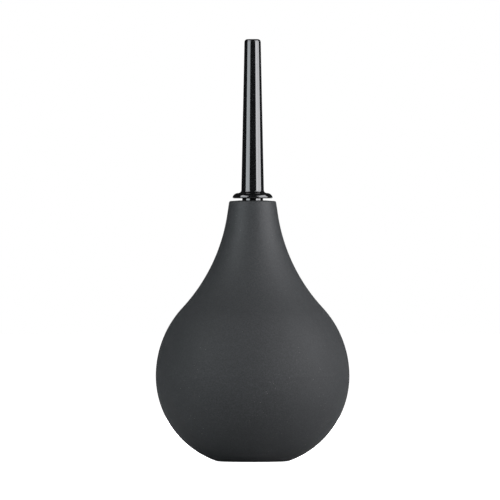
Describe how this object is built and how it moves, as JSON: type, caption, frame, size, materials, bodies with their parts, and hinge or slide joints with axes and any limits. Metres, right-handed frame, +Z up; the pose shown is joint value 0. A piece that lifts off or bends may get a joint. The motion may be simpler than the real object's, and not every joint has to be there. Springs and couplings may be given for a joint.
{
  "type": "dust blower bulb",
  "caption": "Pear-shaped rubber air blower that stands on its base, with a tapered push-in nozzle, a ball valve in the neck and a flap valve in the base.",
  "frame": {"origin": "on the axis, at the centre of the flat base ring that the bulb stands on", "axes": "+Z up along the common axis, from the base through the neck to the nozzle's tip; X and Y are any two directions across"},
  "size_m": [0.08, 0.08, 0.1743],
  "materials": {
    "bulb_rubber": "soft matt black with a very fine grain",
    "nozzle_plastic": "polished black, injection moulded",
    "valve_plastic": "fine-textured black moulding",
    "flap_rubber": "soft dark grey sheet",
    "ball_plastic": "smooth ivory-white ball"
  },
  "bodies": {
    "bulb": {"bulb": "bulb_rubber"},
    "nozzle": {"nozzle": "nozzle_plastic", "outlet_seat": "valve_plastic"},
    "outlet_ball": {"outlet_ball": "ball_plastic"},
    "inlet_valve": {"inlet_button": "valve_plastic", "inlet_cage": "valve_plastic"},
    "inlet_flap": {"inlet_flap": "flap_rubber"}
  },
  "joints": [
    {"name": "nozzle_pull", "type": "slide", "parent": "bulb", "child": "nozzle", "axis": [0, 0, 1], "range_m": [0, 0.04]},
    {"name": "bulb_squeeze", "type": "slide", "parent": "bulb", "child": "inlet_valve", "axis": [0, 0, 1], "range_m": [0, 0.028], "stiffness_N_per_m": 1000, "deforming": ["bulb"]},
    {"name": "outlet_ball_lift", "type": "slide", "parent": "nozzle", "child": "outlet_ball", "axis": [0, 0, 1], "range_m": [0, 0.0015]},
    {"name": "inlet_flap_lift", "type": "slide", "parent": "inlet_valve", "child": "inlet_flap", "axis": [0, 0, 1], "range_m": [0, 0.0012]}
  ]
}
